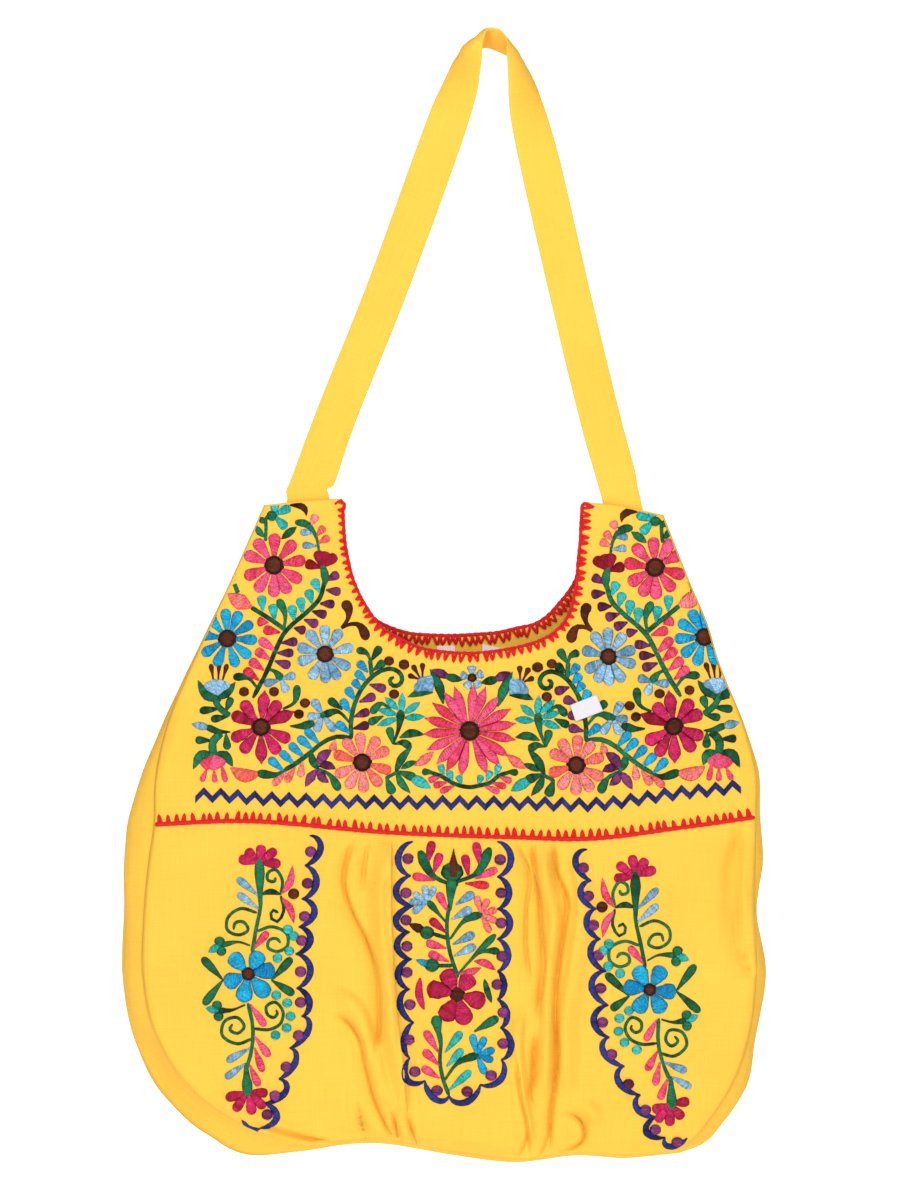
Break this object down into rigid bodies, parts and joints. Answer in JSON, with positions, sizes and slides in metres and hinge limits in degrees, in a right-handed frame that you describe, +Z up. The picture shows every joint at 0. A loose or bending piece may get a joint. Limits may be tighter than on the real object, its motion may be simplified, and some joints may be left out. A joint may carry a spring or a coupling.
{
  "type": "embroidered shoulder bag",
  "caption": "Soft hobo shoulder bag of yellow cotton: embroidered yoke with a U neckline, gathered lower panel, gusset and one flat strap, hung by the strap.",
  "frame": {"origin": "where a peg carries the strap, at the top of its loop", "axes": "+X to the right as the front is seen, +Y from the front to the back, +Z up"},
  "size_m": [0.4221, 0.0975, 0.7454],
  "materials": {
    "cotton": "matt woven cotton, yellow",
    "red_thread": "soft twisted thread, red",
    "white_tape": "blank woven tape, white"
  },
  "bodies": {
    "root": {"front_yoke": "cotton", "front_panel": "cotton", "back_yoke": "cotton", "back_panel": "cotton", "gusset": "cotton", "strap": "cotton", "front_neck_edging": "red_thread", "back_neck_edging": "red_thread", "front_seam_edging": "red_thread", "back_seam_edging": "red_thread", "inner_label_small": "white_tape", "inner_label_large": "white_tape"}
  },
  "joints": []
}
